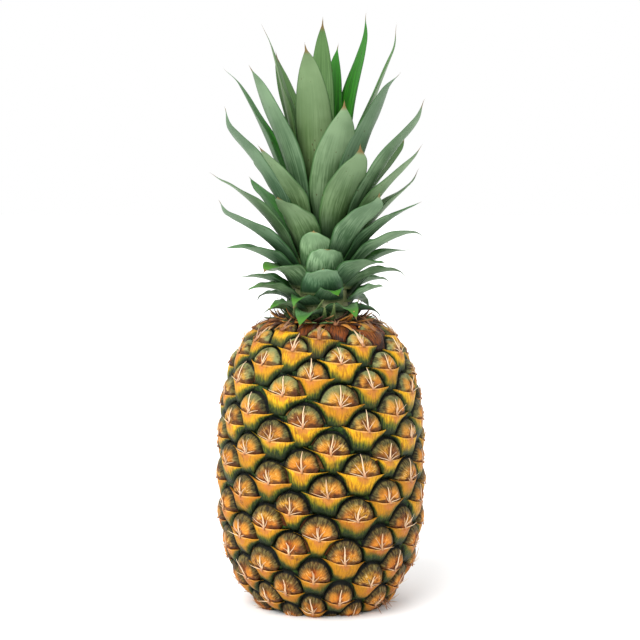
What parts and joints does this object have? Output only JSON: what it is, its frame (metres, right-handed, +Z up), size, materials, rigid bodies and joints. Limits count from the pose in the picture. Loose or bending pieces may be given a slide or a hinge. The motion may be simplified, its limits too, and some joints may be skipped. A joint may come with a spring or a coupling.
{
  "type": "pineapple",
  "caption": "Whole ripe pineapple standing upright, with a scaly rind of fused fruitlets and a full crown of pointed leaves.",
  "frame": {"origin": "centre of the cut stalk's flat underside, on the surface that the fruit stands on", "axes": "+Z up along the fruit's axis, towards the crown; -Y is the front"},
  "size_m": [0.1266, 0.1228, 0.347],
  "materials": {
    "rind": "satin",
    "stalk": "matte",
    "stem": "matte",
    "bract": "matte",
    "leaf": "satin"
  },
  "bodies": {
    "root": {"fruit_body": "rind", "cut_stalk": "stalk", "crown_stem": "stem", "bract_collar": "bract", "leaf_01": "leaf", "leaf_02": "leaf", "leaf_03": "leaf", "leaf_04": "leaf", "leaf_05": "leaf", "leaf_06": "leaf", "leaf_07": "leaf", "leaf_08": "leaf", "leaf_09": "leaf", "leaf_10": "leaf", "leaf_11": "leaf", "leaf_12": "leaf", "leaf_13": "leaf", "leaf_14": "leaf", "leaf_15": "leaf", "leaf_16": "leaf", "leaf_17": "leaf", "leaf_18": "leaf", "leaf_19": "leaf", "leaf_20": "leaf", "leaf_21": "leaf", "leaf_22": "leaf", "leaf_23": "leaf", "leaf_24": "leaf", "leaf_25": "leaf", "leaf_26": "leaf", "leaf_27": "leaf", "leaf_28": "leaf", "leaf_29": "leaf", "leaf_30": "leaf", "leaf_31": "leaf", "leaf_32": "leaf", "leaf_33": "leaf", "leaf_34": "leaf", "leaf_35": "leaf", "leaf_36": "leaf", "leaf_37": "leaf", "leaf_38": "leaf", "leaf_39": "leaf", "leaf_40": "leaf", "leaf_41": "leaf", "leaf_42": "leaf", "leaf_43": "leaf", "leaf_44": "leaf", "leaf_45": "leaf", "leaf_46": "leaf", "leaf_47": "leaf", "leaf_48": "leaf", "leaf_49": "leaf", "leaf_50": "leaf", "leaf_51": "leaf", "leaf_52": "leaf", "leaf_53": "leaf", "leaf_54": "leaf", "leaf_55": "leaf", "leaf_56": "leaf"}
  },
  "joints": []
}
